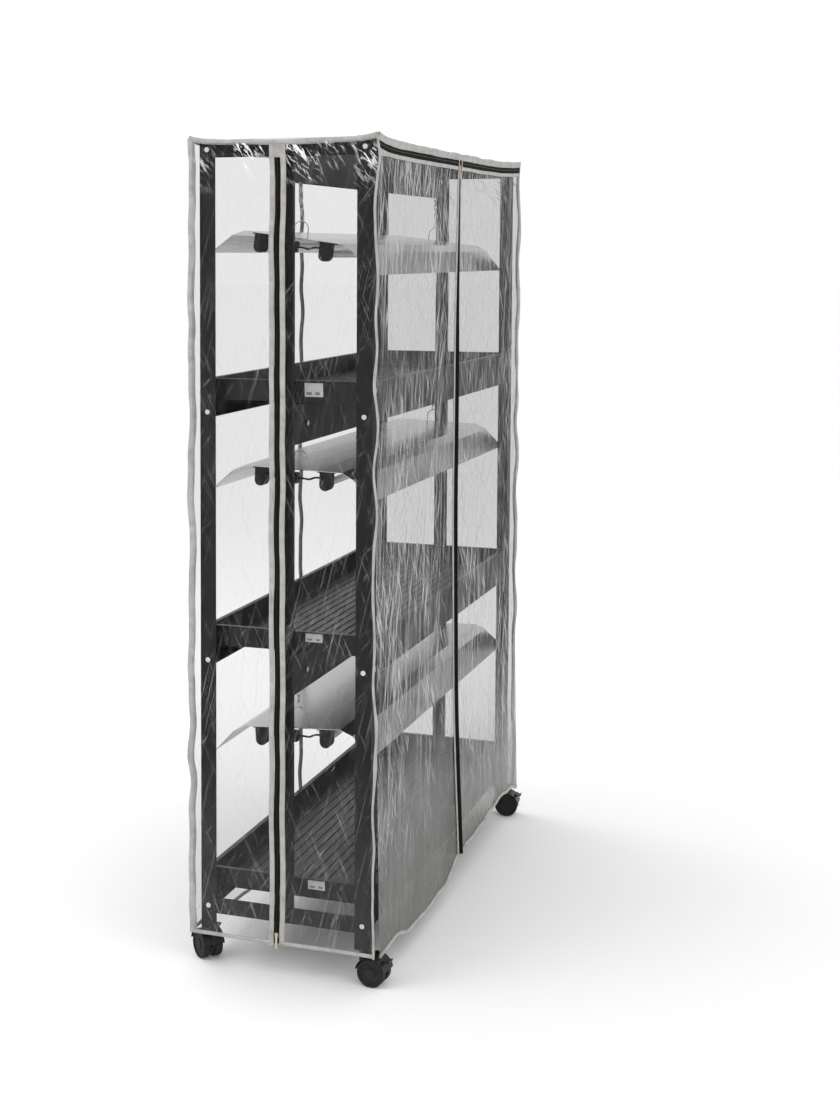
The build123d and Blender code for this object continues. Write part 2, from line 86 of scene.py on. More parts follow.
# ---- Node material helpers -------------------------------------------------------------
class Shader:
    """A material's node tree with short ways to add and join nodes."""

    def __init__(self, name):
        self.material = bpy.data.materials.new(name)
        self.material.use_nodes = True
        self.tree = self.material.node_tree
        self.tree.nodes.clear()
        self.output = self.tree.nodes.new("ShaderNodeOutputMaterial")
        self.place = self.add("ShaderNodeTexCoord").outputs["Object"]

    def add(self, kind, settings=(), **inputs):
        """A new node with its settings and inputs; an underscore in an input is a space."""
        node = self.tree.nodes.new(kind)
        for key, value in dict(settings).items():
            setattr(node, key, value)
        for key, value in inputs.items():
            self.put(node, key.replace("_", " "), value)
        return node

    def put(self, node, key, value):
        """Link a socket to an input, or set the input to a plain value."""
        socket = node.inputs[key]
        if isinstance(value, bpy.types.NodeSocket):
            self.tree.links.new(value, socket)
        else:
            socket.default_value = value

    def stretched(self, scale):
        """Object coordinates multiplied by a scale on each axis."""
        node = self.add("ShaderNodeMapping")
        self.put(node, "Vector", self.place)
        node.inputs["Scale"].default_value = scale
        return node.outputs["Vector"]

    def noise(self, scale, detail=3.0, roughness=0.55, stretch=(1, 1, 1), distortion=0.0):
        """Cloudy noise, stretched along the axes."""
        node = self.add("ShaderNodeTexNoise", Scale=scale, Detail=detail,
                        Roughness=roughness, Distortion=distortion)
        self.put(node, "Vector", self.stretched(stretch))
        return node.outputs["Fac"]

    def creases(self, turn, lengths, low, high, share, move=0.0):
        """Long thin marks: turn is their lean in degrees about each axis, lengths their
        size in metres along each axis, and share how strongly they show."""
        node = self.add("ShaderNodeMapping", {"vector_type": "TEXTURE"})
        self.put(node, "Vector", self.place)
        node.inputs["Location"].default_value = (move, move, move)
        node.inputs["Rotation"].default_value = [radians(a) for a in turn]
        node.inputs["Scale"].default_value = lengths
        marks = self.add("ShaderNodeTexNoise", Scale=1.0, Detail=3.0, Roughness=0.6,
                         Distortion=0.35)
        self.put(marks, "Vector", node.outputs["Vector"])
        return self.ramp(marks.outputs["Fac"], low, high, 0, share)

    def height(self, low, high):
        """0 below one height and 1 above another."""
        parts = self.add("ShaderNodeSeparateXYZ")
        self.put(parts, "Vector", self.place)
        return self.ramp(parts.outputs["Z"], low, high)

    def total(self, values):
        """The sum of several values."""
        result = values[0]
        for value in values[1:]:
            result = self.maths("ADD", result, value)
        return result

    def ramp(self, factor, low, high, dark=0.0, light=1.0):
        """A value between low and high turned into one between dark and light."""
        node = self.add("ShaderNodeMapRange")
        self.put(node, "Value", factor)
        for key, value in (("From Min", low), ("From Max", high),
                           ("To Min", dark), ("To Max", light)):
            node.inputs[key].default_value = value
        return node.outputs["Result"]

    def colours(self, factor, first, second):
        """A mix of two colours, by a factor."""
        node = self.add("ShaderNodeMix", {"data_type": "RGBA"})
        self.tree.links.new(factor, node.inputs["Factor"])
        node.inputs[6].default_value = (*first, 1)
        node.inputs[7].default_value = (*second, 1)
        return node.outputs[2]

    def maths(self, operation, first, second):
        """A sum, product or the like of two values."""
        node = self.add("ShaderNodeMath", {"operation": operation})
        for socket, value in zip(node.inputs, (first, second)):
            if isinstance(value, bpy.types.NodeSocket):
                self.tree.links.new(value, socket)
            else:
                socket.default_value = value
        return node.outputs[0]

    def bump(self, height, distance, strength=1.0):
        """A normal that follows a height, distance in metres."""
        node = self.add("ShaderNodeBump", Distance=distance, Strength=strength)
        self.put(node, "Height", height)
        return node.outputs["Normal"]

    def principled(self, **inputs):
        return self.add("ShaderNodeBsdfPrincipled", **inputs)

    def finish(self, shader):
        """Put a shader on the surface and give back the material."""
        self.tree.links.new(shader.outputs[0], self.output.inputs["Surface"])
        return self.material


def mottled(name, first, second, scale, rough, bumps, metallic=0.0, stretch=(1, 1, 1),
            coat=0.0, specular=0.5):
    """Colour and roughness that drift between two values over a fine bumpy surface.

    rough is the roughness's (low, high); bumps is (scale, height in metres, strength).
    """
    s = Shader(name)
    drift = s.ramp(s.noise(scale, 4, 0.6, stretch), 0.3, 0.7)
    grain = s.noise(bumps[0], 2, 0.6, stretch)
    shader = s.principled(
        Base_Color=s.colours(drift, first, second),
        Roughness=s.ramp(drift, 0, 1, *rough),
        Metallic=metallic,
        Normal=s.bump(grain, bumps[1], bumps[2]),
    )
    shader.inputs["Coat Weight"].default_value = coat
    shader.inputs["Coat Roughness"].default_value = 0.25
    shader.inputs["Specular IOR Level"].default_value = specular
    return s.finish(shader)


def woven(name, first, second, thread, sheen, rough=0.85, specular=0.5):
    """Plain-weave tape: two crossing waves of threads, with fuzz and soft dirt."""
    s = Shader(name)
    waves = []
    for direction in ("Z", "DIAGONAL"):
        bands = s.add("ShaderNodeTexWave", {"bands_direction": direction},
                      Scale=thread, Distortion=1.2, Detail=1.0)
        s.put(bands, "Vector", s.place)
        waves.append(bands.outputs["Fac"])
    threads = s.maths("MULTIPLY", *waves)
    stain = s.ramp(s.noise(38, 4, 0.6), 0.3, 0.7)
    shade = s.maths("ADD", s.maths("MULTIPLY", threads, 0.35), s.maths("MULTIPLY", stain, 0.65))
    shader = s.principled(
        Base_Color=s.colours(shade, first, second),
        Roughness=rough,
        Normal=s.bump(threads, 0.0004, 0.7),
    )
    shader.inputs["Sheen Weight"].default_value = sheen
    shader.inputs["Specular IOR Level"].default_value = specular
    return s.finish(shader)


MOST_COVER = 0.92  # the film is never more opaque than this
# the colour of the painted highlights: glints painted on the creases along the top
PAINTED_GLINT = (0.92, 0.92, 0.925)


def clear_film(name, tint, veil, haze, marks, glints=(), foot=0.0, foot_colour=None):
    """Thin clear film: see-through, with creases that catch the light.

    tint is the light that a flat part lets through, veil the colour of its haze and
    creases, and haze how much of the flat film shows. marks and glints are creases();
    glints are painted highlights, a bright colour painted only along the top. foot is the
    share of extra haze towards the hem, and foot_colour its colour where that isn't the
    veil's; the front's dark foot_colour is painted shade low down by the floor. A film
    has glints or a foot_colour, not both.
    """
    s = Shader(name)
    lines = [s.creases(*mark) for mark in marks]
    soft = s.noise(1.0, 3, 0.55, (9, 9, 2.2), 0.4)
    drift = s.ramp(soft, 0.35, 0.7, 0, haze)
    crumpled = s.ramp(s.noise(3.4, 2, 0.5), 0.36, 0.64, 0.45, 1.35)
    cover = s.maths("ADD", drift, s.maths("MULTIPLY", s.total(lines), crumpled))
    colour = (*veil, 1)
    # glints: bright colour painted on the creases along the top, as painted highlights
    if glints:
        groups = s.ramp(s.noise(9, 2, 0.5, (1, -1, 1)), 0.46, 0.57)
        patches = s.maths("MULTIPLY", s.height(1.70, 1.80), groups)
        shine = s.maths("MULTIPLY", s.total([s.creases(*glint) for glint in glints]), patches)
        cover = s.maths("ADD", cover, shine)
        colour = s.colours(s.maths("MINIMUM", shine, 1.0), veil, PAINTED_GLINT)
    if foot:
        rise = s.maths("ADD", s.height(0.09, 0.50), s.ramp(soft, 0.3, 0.7, -0.16, 0.16))
        cover = s.maths("ADD", cover, s.ramp(rise, 0, 1, foot, 0))
        # a foot_colour is painted shade: the film made darker towards the hem, low down by the
        # floor
        if foot_colour:
            colour = s.colours(rise, foot_colour, veil)
    cover = s.maths("MINIMUM", cover, MOST_COVER)
    clear = s.add("ShaderNodeBsdfTransparent", Color=(*tint, 1))
    skin = s.principled(
        Base_Color=colour,
        Roughness=s.ramp(soft, 0.3, 0.7, 0.12, 0.28),
        Normal=s.bump(s.total([soft] + lines), 0.0015, 0.6),
    )
    mix = s.add("ShaderNodeMixShader")
    s.tree.links.new(cover, mix.inputs[0])
    s.tree.links.new(clear.outputs[0], mix.inputs[1])
    s.tree.links.new(skin.outputs[0], mix.inputs[2])
    return s.finish(mix)


STEEL = mottled("black_powder_coat", (0.012, 0.012, 0.013), (0.022, 0.022, 0.023), 9,
                (0.34, 0.5), (900, 0.0003, 0.5), specular=0.12)
TRAY = mottled("black_tray_plastic", (0.014, 0.014, 0.015), (0.03, 0.03, 0.031), 14,
               (0.3, 0.46), (1400, 0.0002, 0.4), specular=0.2)
ALUMINIUM = mottled("rolled_aluminium", (0.50, 0.50, 0.505), (0.64, 0.64, 0.645), 5,
                    (0.2, 0.32), (420, 0.0002, 0.5), metallic=1.0, stretch=(0.02, 1, 1))
GLASS_TUBE = mottled("white_lamp_glass", (0.86, 0.87, 0.88), (0.92, 0.93, 0.93), 20,
                     (0.14, 0.22), (500, 0.0001, 0.2), coat=0.4)
HOLDER = mottled("black_holder_plastic", (0.012, 0.012, 0.012), (0.024, 0.024, 0.025), 40,
                 (0.38, 0.55), (1600, 0.0002, 0.5), specular=0.15)
ZINC = mottled("zinc_wire", (0.42, 0.42, 0.43), (0.6, 0.6, 0.61), 90,
               (0.22, 0.42), (1200, 0.0002, 0.4), metallic=1.0)
CHROME = mottled("bright_screws", (0.72, 0.72, 0.73), (0.85, 0.85, 0.85), 160,
                 (0.1, 0.25), (900, 0.0001, 0.3), metallic=1.0)
CASTER = mottled("caster_plastic", (0.011, 0.011, 0.012), (0.024, 0.024, 0.025), 45,
                 (0.28, 0.42), (1300, 0.0002, 0.4), specular=0.15)
TYRE = mottled("caster_tread", (0.014, 0.014, 0.014), (0.03, 0.03, 0.03), 60,
               (0.5, 0.68), (1000, 0.0003, 0.6), specular=0.12)
BRASS = mottled("dull_brass", (0.5, 0.43, 0.3), (0.62, 0.55, 0.42), 220,
                (0.25, 0.42), (1500, 0.0001, 0.4), metallic=1.0)
LABEL = mottled("label_paper", (0.5, 0.5, 0.49), (0.6, 0.6, 0.59), 120,
                (0.4, 0.6), (900, 0.0001, 0.3))
LABEL_BAR = mottled("label_grey_bar", (0.16, 0.16, 0.16), (0.26, 0.26, 0.26), 300,
                    (0.5, 0.6), (900, 0.0001, 0.3))
TAPE = woven("grey_binding_tape", (0.30, 0.288, 0.272), (0.56, 0.545, 0.52), 420, 0.2)
SEAM_TAPE = woven("dim_seam_tape", (0.10, 0.098, 0.095), (0.24, 0.236, 0.23), 420, 0.1)
ZIP_TAPE = woven("black_zip_tape", (0.004, 0.004, 0.004), (0.012, 0.012, 0.013), 520, 0.0,
                 rough=0.8, specular=0.08)
TEETH = mottled("zip_coil", (0.006, 0.006, 0.006), (0.016, 0.016, 0.016), 300,
                (0.3, 0.45), (1500, 0.0001, 0.4), specular=0.15)
FILM_END = clear_film(
    "film_end", (0.885, 0.887, 0.89), (0.52, 0.522, 0.525), 0.012,
    [((14, 0, 0), (1, 0.004, 0.22), 0.58, 0.80, 0.34),
     ((-24, 0, 0), (1, 0.005, 0.11), 0.60, 0.80, 0.36, 3.0),
     ((38, 0, 0), (1, 0.006, 0.06), 0.61, 0.80, 0.30, 6.0)],
    # glints: painted highlights along the top
    [((-32, 0, 0), (1, 0.009, 0.050), 0.54, 0.58, 0.95, 5.0),
     ((-52, 0, 0), (1, 0.006, 0.030), 0.58, 0.62, 0.85, 7.0)],
    foot=0.05)
FILM_FRONT = clear_film(
    "film_front", (0.68, 0.68, 0.68), (0.43, 0.425, 0.42), 0.12,
    [((0, 4, 0), (0.008, 1, 0.26), 0.48, 0.74, 0.62),
     ((0, 24, 0), (0.010, 1, 0.11), 0.54, 0.72, 0.70, 3.0),
     ((0, -32, 0), (0.010, 1, 0.09), 0.55, 0.73, 0.70, 5.0)],
    # the dark foot_colour is painted shade towards the hem
    foot=0.72, foot_colour=(0.07, 0.065, 0.058))
FILM_BACK = clear_film(
    "film_back", (0.885, 0.887, 0.89), (0.7, 0.705, 0.71), 0.01,
    [((0, 10, 0), (0.010, 1, 0.30), 0.62, 0.84, 0.2),
     ((0, -24, 0), (0.010, 1, 0.14), 0.64, 0.84, 0.2, 4.0)])


# ---- Mesh helpers ----------------------------------------------------------------------
def new_mesh(name, points, faces, material, smooth=True):
    """A new piece from its points and faces."""
    mesh = bpy.data.meshes.new(name)
    mesh.from_pydata([tuple(p) for p in points], [], faces)
    mesh.polygons.foreach_set("use_smooth", [smooth] * len(mesh.polygons))
    mesh.materials.append(material)
    mesh.update()
    piece = bpy.data.objects.new(name, mesh)
    bpy.context.scene.collection.objects.link(piece)
    return piece


def panel(name, corner, along, up, width, height, step, offset, material):
    """A sheet from a corner, width along one direction and height up another.

    offset(u, v) gives each point's move, where u and v are metres along and up.
    """
    columns = max(2, round(width / step))
    rows = max(2, round(height / step))
    corner, along, up = Vector(corner), Vector(along), Vector(up)
    points = []
    for j in range(rows + 1):
        for i in range(columns + 1):
            u, v = width * i / columns, height * j / rows
            points.append(corner + along * u + up * v + Vector(offset(u, v)))
    faces = []
    for j in range(rows):
        for i in range(columns):
            a = j * (columns + 1) + i
            faces.append((a, a + 1, a + columns + 2, a + columns + 1))
    return new_mesh(name, points, faces, material)


def swept(name, path, sides, profile, material, closed_path=False):
    """A profile of (side, out) offsets swept along a path, with its ends closed.

    sides gives, for each point of the path, the directions of side and out.
    """
    count = len(profile)
    points = []
    for place, (side, out) in zip(path, sides):
        for a, b in profile:
            points.append(place + side * a + out * b)
    faces = []
    total = len(path)
    for i in range(total if closed_path else total - 1):
        k = (i + 1) % total
        for j in range(count):
            m = (j + 1) % count
            faces.append((i * count + j, k * count + j, k * count + m, i * count + m))
    if not closed_path:
        faces.append(tuple(reversed(range(count))))
        faces.append(tuple((total - 1) * count + j for j in range(count)))
    return new_mesh(name, points, faces, material)


def ring_profile(radius, sides=6):
    """A round profile for swept()."""
    return [(radius * cos(2 * pi * k / sides), radius * sin(2 * pi * k / sides))
            for k in range(sides)]


def joined(name, pieces):
    """Several meshes made into one piece."""
    bpy.ops.object.select_all(action="DESELECT")
    for piece in pieces:
        piece.select_set(True)
    bpy.context.view_layer.objects.active = pieces[0]
    if len(pieces) > 1:
        bpy.ops.object.join()
    pieces[0].name = name
    pieces[0].data.name = name
    return pieces[0]


def wave(seed, where, frequency, size):
    """Smooth seeded noise along a line, in metres."""
    return size * noise.noise(Vector((where * frequency, seed * 7.31, seed * 1.7)))


def fabric(seed, a, b, coarse, fine):
    """Smooth seeded noise over a surface: broad folds and small puckers, in metres."""
    broad = noise.noise(Vector((a * 3.1, b * 1.1, seed)))
    medium = noise.noise(Vector((a * 11.0, b * 3.3, seed + 4.4)))
    small = noise.noise(Vector((a * 31.0, b * 16.0, seed + 9.1)))
    return coarse * (broad + 0.45 * medium) + fine * small


# ---- How the cover hangs: the CAD panels are flat, and the film isn't ------------------
SAG_LONG = 0.012  # the top edge's sag in the middle of the front and back
SAG_END = 0.009  # its sag in the middle of the ends
SAG_RIM = 0.013  # an end's sag fades out this far in from the end
DRAWN_IN = 0.0095  # how far the closed front is drawn in, half way up
BUCKLE = 0.0075  # how far the closed front zipper stands out, below the sliders
FLARE = 0.012  # how far the front hem stands out
BACK_FLARE = 0.004  # the same, of the back hem
END_STAND_OFF = 0.001  # how far the end films stand outside the CAD
BOUND_END = 0.54  # beyond this, along X, the hem's raggedness only hangs down
# how far the front and back hems hang below the CAD hem (above, if negative), along X
HEM_LINE = [(-0.66, 0), (-BOUND_END, 0), (-0.42, 0.023), (-0.12, 0.026), (0.0, -0.010),
            (0.115, -0.011), (0.445, -0.030), (0.56, -0.022), (0.66, 0)]


def sag(p):
    """How far a place on the cover hangs below the flat CAD top, between the posts."""
    along = min(1.0, abs(p.x) / COVER_X)
    long_edge = SAG_LONG * (1 - along ** (10 if p.x < 0 else 4))
    inner = min(1.0, abs(p.y) / COVER_Y)
    end_edge = SAG_END * (1 - inner ** 6) * max(0.0, 1 - (COVER_X - abs(p.x)) / SAG_RIM)
    near_top = min(1.0, max(0.0, (p.z - TOP + 0.35) / 0.3))
    return (long_edge * (0.5 + 0.5 * inner) + end_edge) * near_top


def settle(piece):
    """Lowers a piece of the cover by its sag."""
    for vertex in piece.data.vertices:
        vertex.co.z -= sag(vertex.co)
    piece.data.update()
    return piece


def bow(x, z):
    """How far the closed front is drawn in between its top and its hem."""
    t = min(1.0, max(0.0, (z - HEM) / (TOP - HEM)))
    return DRAWN_IN * sin(pi * t) * (1 - min(1.0, abs(x) / COVER_X) ** 2)


def ridge(z):
    """How far the closed front zipper's teeth stand out: it buckles below the sliders."""
    t = (FLAP_TOP - 0.05 - z) / 0.45
    return BUCKLE * min(1.0, max(0.0, t))


def hem_drop(x):
    """How far the front and back hems hang below the CAD hem at a place along X."""
    drop = 0.0
    for (x_a, drop_a), (x_b, drop_b) in zip(HEM_LINE, HEM_LINE[1:]):
        if x_a <= x <= x_b:
            t = (x - x_a) / (x_b - x_a)
            drop = drop_a + (drop_b - drop_a) * (3 - 2 * t) * t * t
    ragged = 0.006 * noise.noise(Vector((x * 15, 4.2, 0))) * min(1.0, 6 * (0.66 - abs(x)))
    return drop + max(0.0, ragged) if abs(x) > BOUND_END else drop + ragged


def wrinkled_side(seed, out_sign, x_start, height, bulge):
    """Offsets of a long panel: folds in and out, pulled flat at the top, loose at the hem."""

    def offset(u, v):
        x = x_start + u
        t = v / height
        slack = 0.35 + 0.65 * (1 - t)
        slack *= min(1.0, (1 - t) / 0.03)
        out = fabric(seed, x, v, 0.0034, 0.0011) * slack + bulge * (1 - t) ** 4
        if out_sign < 0:
            out -= bow(x, HEM + v)
        drop = -hem_drop(x) * (1 - t) ** 3
        sway = 0.0016 * noise.noise(Vector((x * 2, v * 5, seed + 2)))
        return (sway * (1 - t), out_sign * out, drop)

    return offset


def wrinkled_end(seed, out_sign, y_start, height):
    """Offsets of an end panel, pulled by its zipper and its corner bindings."""

    def offset(u, v):
        y = y_start + u
        t = v / height
        pucker = 0.0007 * noise.noise(Vector((y * 40, v * 24, seed + 6)))
        out = fabric(seed, y * 1.6, v, 0.0026, 0.001) * (0.4 + 0.6 * (1 - t)) + pucker
        return (out_sign * (out + END_STAND_OFF), 0, 0)

    return offset


def taut_top(u, v):
    """The top lies on the posts and sags a little between them."""
    dip = sin(pi * min(1, max(0, u / (2 * COVER_X)))) * sin(pi * min(1, v / (2 * COVER_Y)))
    return (0, 0, -0.0006 + 0.0014 * noise.noise(Vector((u * 9, v * 9, 3))) - 0.0035 * dip)


# ---- Film panels -----------------------------------------------------------------------
STEP = 0.012
ZIP_HALF = 0.006  # from a zipper's middle to the film beside it
CORNER_GAP = 0.002  # between a flap and the corner seam
SIDE_HEIGHT = TOP - HEM
FLAP_HEIGHT = FLAP_TOP - HEM


def end_film(name, sx, y_start, y_seam, width, seed):
    """A film panel of an end; its folds are reckoned from y_seam."""
    return panel(name, (sx * COVER_X, y_start, HEM), (0, 1, 0), (0, 0, 1), width, SIDE_HEIGHT,
                 STEP, wrinkled_end(seed, sx, y_seam, SIDE_HEIGHT), FILM_END)


def flap_film(name, x_start, x_seam, width, seed):
    """A film panel of the front; its folds are reckoned from x_seam."""
    return panel(name, (x_start, -COVER_Y, HEM), (1, 0, 0), (0, 0, 1), width, FLAP_HEIGHT, STEP,
                 wrinkled_side(seed, -1, x_seam, FLAP_HEIGHT, FLARE), FILM_FRONT)


film_left_front = end_film("film_left_front", -1, -COVER_Y, -COVER_Y,
                           COVER_Y + END_ZIP_Y - ZIP_HALF, 11)
film_left_back = end_film("film_left_back", -1, END_ZIP_Y + ZIP_HALF, END_ZIP_Y,
                          COVER_Y - END_ZIP_Y - ZIP_HALF, 17)
film_right = end_film("film_right", 1, -COVER_Y, -COVER_Y, 2 * COVER_Y, 23)
film_back = panel("film_back", (-COVER_X, COVER_Y, HEM), (1, 0, 0), (0, 0, 1),
                  2 * COVER_X, SIDE_HEIGHT, STEP,
                  wrinkled_side(29, 1, -COVER_X, SIDE_HEIGHT, BACK_FLARE), FILM_BACK)
film_top = panel("film_top", (-COVER_X, -COVER_Y, TOP), (1, 0, 0), (0, 1, 0),
                 2 * COVER_X, 2 * COVER_Y, 0.016, taut_top, FILM_BACK)
film_flap_left = flap_film("film_flap_left", -COVER_X + CORNER_GAP, -COVER_X,
                           COVER_X + FRONT_ZIP_X - ZIP_HALF - CORNER_GAP, 37)
film_flap_right = flap_film("film_flap_right", FRONT_ZIP_X + ZIP_HALF, FRONT_ZIP_X,
                            COVER_X - FRONT_ZIP_X - ZIP_HALF - CORNER_GAP, 41)

for piece, body, node, size in (
    (film_left_front, "cover", "cover_left_end", (COVER_Y + END_ZIP_Y, SIDE_HEIGHT)),
    (film_left_back, "cover", "cover_left_end", (COVER_Y - END_ZIP_Y, SIDE_HEIGHT)),
    (film_right, "cover", "cover_right_end", (2 * COVER_Y, SIDE_HEIGHT)),
    (film_back, "cover", "cover_back", (2 * COVER_X, SIDE_HEIGHT)),
    (film_top, "cover", "cover_top", (2 * COVER_X, 2 * COVER_Y)),
    (film_flap_left, "flap_left", "cover_flap_left", (COVER_X + FRONT_ZIP_X, FLAP_HEIGHT)),
    (film_flap_right, "flap_right", "cover_flap_right", (COVER_X - FRONT_ZIP_X, FLAP_HEIGHT)),
):
    settle(piece)
    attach(piece, body)
    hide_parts(node)


# ---- Bindings: folded tape sewn round every seam ---------------------------------------
def line_points(start, end, step, seed, side, out, wobble):
    """Points from start to end that waver a little to the side and outwards."""
    start, end = Vector(start), Vector(end)
    length = (end - start).length
    count = max(2, round(length / step))
    points = []
    for i in range(count + 1):
        s = length * i / count
        fade = min(1.0, s / 0.05, (length - s) / 0.05)
        move = side * wave(seed, s, 9, wobble) + out * wave(seed + 3, s, 15, wobble * 0.6)
        points.append(start.lerp(end, i / count) + move * fade)
    return points


FIN_ROOT = 0.005  # a fin starts this far inside its seam


def fin(name, start, end, side, out, width, thick, seed, wobble, material=TAPE):
    """A folded tape along a seam: its fold stands out from the seam by width."""
    side, out = Vector(side).normalized(), Vector(out).normalized()
    path = line_points(start, end, STEP, seed, side, out, wobble)
    half = thick / 2
    profile = [(-half, -FIN_ROOT), (-half * 1.1, width * 0.55), (-half * 0.8, width * 0.92),
               (0, width), (half * 0.8, width * 0.92), (half * 1.1, width * 0.55),
               (half, -FIN_ROOT)]
    frames = []
    along = (Vector(end) - Vector(start)).normalized()
    for i in range(len(path)):
        lean = Matrix.Rotation(0.5 * noise.noise(Vector((i * 0.13, seed, 0))), 3, along)
        frames.append((lean @ side, lean @ out))
    return swept(name, path, frames, profile, material)


def strip(name, start, end, side, out, width, thick, seed, wobble, material=TAPE):
    """A flat tape lying on the film, width across and thick outwards, with puckers."""
    side, out = Vector(side).normalized(), Vector(out).normalized()
    path = line_points(start, end, 0.010, seed, side, out, wobble)
    half = width / 2
    profile = [(-half, -thick * 0.4), (half, -thick * 0.4), (half, thick * 0.4),
               (half * 0.85, thick), (half * 0.05, thick * 0.75), (-half * 0.05, thick * 0.75),
               (-half * 0.85, thick), (-half, thick * 0.4)]
    frames = []
    for i in range(len(path)):
        swell = 1 + 0.06 * noise.noise(Vector((i * 0.21, seed, 5)))
        frames.append((side * swell, out))
    return swept(name, path, frames, profile, material)


X, Y, Z = Vector((1, 0, 0)), Vector((0, 1, 0)), Vector((0, 0, 1))
FIN_THICK = 0.0045
corner_bindings = []
for sx in (-1, 1):
    for sy in (-1, 1):
        outward = Vector((sx, sy * 0.25, 0)) if sy < 0 else Vector((sx * 0.35, sy, 0))
        across = Vector((-outward.y, outward.x, 0))
        seam_x, seam_y = sx * (COVER_X - 0.001), sy * (COVER_Y - 0.001)
        corner_bindings.append(
            fin(f"corner_{sx}_{sy}", (seam_x, seam_y, HEM), (seam_x, seam_y, TOP), across,
                outward, 0.010, FIN_THICK, 3 * sx + sy + 10, 0.009))
top_bindings = []
seam_z = TOP - 0.003
for sy in (-1, 1):
    top_bindings.append(
        fin(f"top_long_{sy}", (-COVER_X, sy * COVER_Y, seam_z), (COVER_X, sy * COVER_Y, seam_z),
            (0, 1, -sy * 0.3), (0, sy * 0.5, 1), 0.009, FIN_THICK, 31 + sy, 0.004))
for sx in (-1, 1):
    top_bindings.append(
        fin(f"top_end_{sx}", (sx * COVER_X, -COVER_Y, seam_z), (sx * COVER_X, COVER_Y, seam_z),
            (1, 0, -sx * 0.3), (sx * 0.5, 0, 1), 0.009, FIN_THICK, 41 + sx, 0.004))
HEM_Z = HEM + 0.0005
HEM_GAP = 0.004  # from a flap's hem to the corner


def hem(name, start, end, out, seed, flare=0.0):
    """The hem's folded tape along the film's lower edge, where start and end are (x, y).

    flare is how far the film stands out there. An end's film has none, and a level hem.
    """
    start, end, out = Vector((*start, HEM_Z)), Vector((*end, HEM_Z)), Vector(out)
    count = round((end - start).length / STEP)
    path = []
    for i in range(count + 1):
        p = start.lerp(end, i / count)
        if flare:
            p += out * (fabric(seed, p.x, 0, 0.0034, 0.001) + flare)
            p.z -= hem_drop(p.x)
        else:
            p += out * (fabric(seed, p.y * 1.6, 0, 0.0026, 0.001) + END_STAND_OFF)
        path.append(p)
    half = 0.0022
    profile = [(-half, 0.007), (-half, 0), (0, -0.0012), (half, 0), (half, 0.007), (0, 0.0078)]
    return swept(name, path, [(out, Z)] * len(path), profile, TAPE)


hems_cover = [
    hem("hem_left_front", (-COVER_X, -COVER_Y), (-COVER_X, END_ZIP_Y - ZIP_HALF), -X, 11),
    hem("hem_left_back", (-COVER_X, END_ZIP_Y + ZIP_HALF), (-COVER_X, COVER_Y), -X, 17),
    hem("hem_right", (COVER_X, -COVER_Y), (COVER_X, COVER_Y), X, 23),
    hem("hem_back", (-COVER_X, COVER_Y), (COVER_X, COVER_Y), Y, 29, BACK_FLARE),
]
hem_flap_left = hem("hem_flap_left", (-COVER_X + HEM_GAP, -COVER_Y),
                    (FRONT_ZIP_X - ZIP_HALF, -COVER_Y), -Y, 37, FLARE)
hem_flap_right = hem("hem_flap_right", (FRONT_ZIP_X + ZIP_HALF, -COVER_Y),
                     (COVER_X - HEM_GAP, -COVER_Y), -Y, 41, FLARE)
BACK_SEAM_X = 0.05
back_seam = fin("back_seam", (BACK_SEAM_X, COVER_Y + 0.001, HEM - 0.02),
                (BACK_SEAM_X, COVER_Y + 0.001, TOP), X, Y, 0.0045, 0.003, 71, 0.008, SEAM_TAPE)


# ---- Zippers ---------------------------------------------------------------------------
TOOTH_STEP = 0.0021


def teeth_row(name, start, end, side, out, seed, wobble, radius=0.0016):
    """A coil zipper's closed teeth as a ribbed bead along the seam."""
    side, out = Vector(side).normalized(), Vector(out).normalized()
    path = line_points(start, end, TOOTH_STEP, seed, side, out, wobble)
    frames = []
    for i in range(len(path)):
        swell = 1.0 if i % 2 else 0.62
        frames.append((side * swell, out * swell))
    return swept(name, path, frames, ring_profile(radius), TEETH)


ZIP_TOP = TOP - 0.034
END_X = -COVER_X - 0.0008


def end_strip(name, lift, y, low, high, width, thick, material=TAPE):
    """An upright tape on the left end, lift metres off its film."""
    return strip(name, (END_X - lift, y, low), (END_X - lift, y, high), -Y, -X, width, thick,
                 51, 0.003, material)


end_zip = [
    end_strip("end_zip_black", 0, END_ZIP_Y, HEM + 0.002, ZIP_TOP, 0.0125, 0.0012, ZIP_TAPE),
    teeth_row("end_zip_teeth", (END_X - 0.0012, END_ZIP_Y, HEM + 0.026),
              (END_X - 0.0012, END_ZIP_Y, ZIP_TOP), -Y, -X, 51, 0.003),
]
BORDER_LIFT = 0.0006
end_tapes = [
    end_strip("end_tape_front", BORDER_LIFT, END_ZIP_Y - 0.0125, HEM - 0.004, TOP, 0.012, 0.0016),
    end_strip("end_tape_back", BORDER_LIFT, END_ZIP_Y + 0.0125, HEM - 0.004, TOP, 0.011, 0.0016),
    strip("end_tape_top", (END_X - BORDER_LIFT, END_ZIP_Y - 0.017, (ZIP_TOP + TOP) / 2),
          (END_X - BORDER_LIFT, END_ZIP_Y + 0.017, (ZIP_TOP + TOP) / 2), Z, -X,
          TOP - ZIP_TOP, 0.0014, 55, 0.0005),
]
FRONT_Y = -COVER_Y - 0.0016


def front_strip(name, x_from, x_to, lift, z, width, thick, seed, wobble, material=TAPE):
    """A level tape on the front, lift metres off its film."""
    return strip(name, (x_from, FRONT_Y - lift, z), (x_to, FRONT_Y - lift, z), Z, -Y, width,
                 thick, seed, wobble, material)


ZIP_ROWS = 300


